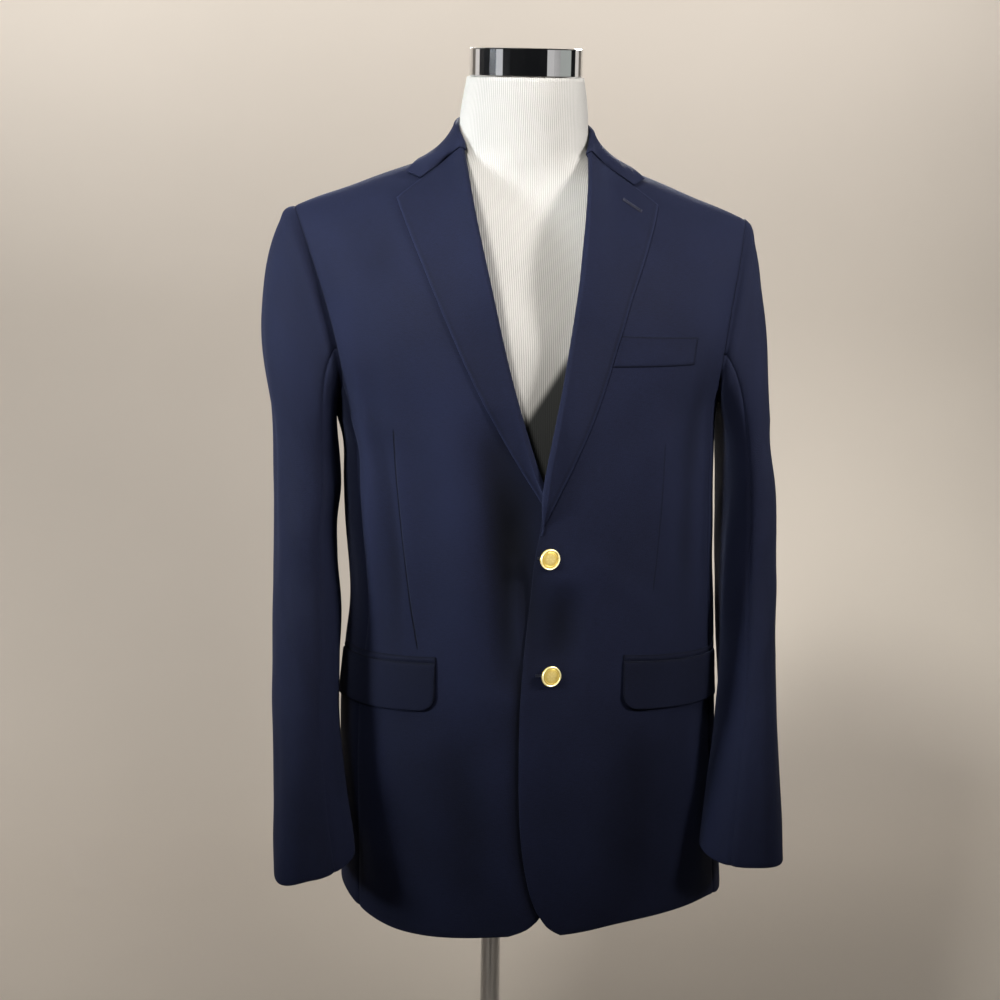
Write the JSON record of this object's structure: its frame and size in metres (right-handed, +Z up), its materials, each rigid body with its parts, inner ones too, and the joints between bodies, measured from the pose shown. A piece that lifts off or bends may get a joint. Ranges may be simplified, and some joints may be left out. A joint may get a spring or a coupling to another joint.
{
  "type": "single breasted blazer on a dress form",
  "caption": "Navy wool blazer with notched lapels, welt and flap pockets and gilt buttons, worn by a limbless jersey dress form on a chrome pole and round foot.",
  "frame": {"origin": "centre of the foot's underside", "axes": "+Z up the pole, -Y the blazer's front, +X the wearer's left"},
  "size_m": [0.5361, 0.34, 1.6128],
  "materials": {
    "wool": "matt navy worsted wool",
    "jersey": "fine ribbed off-white jersey",
    "chrome": "polished",
    "brass": "polished gilt"
  },
  "bodies": {
    "root": {"front_left": "wool", "front_right": "wool", "side_left": "wool", "side_right": "wool", "back_left": "wool", "back_right": "wool", "lapel_left": "wool", "lapel_right": "wool", "collar": "wool", "sleeve_top_left": "wool", "sleeve_top_right": "wool", "sleeve_under_left": "wool", "sleeve_under_right": "wool", "flap_left": "wool", "flap_right": "wool", "jet_left": "wool", "jet_right": "wool", "chest_welt": "wool", "button_top": "brass", "button_bottom": "brass", "form_torso": "jersey", "neck_cap": "chrome", "pole": "chrome", "foot": "chrome"}
  },
  "joints": []
}
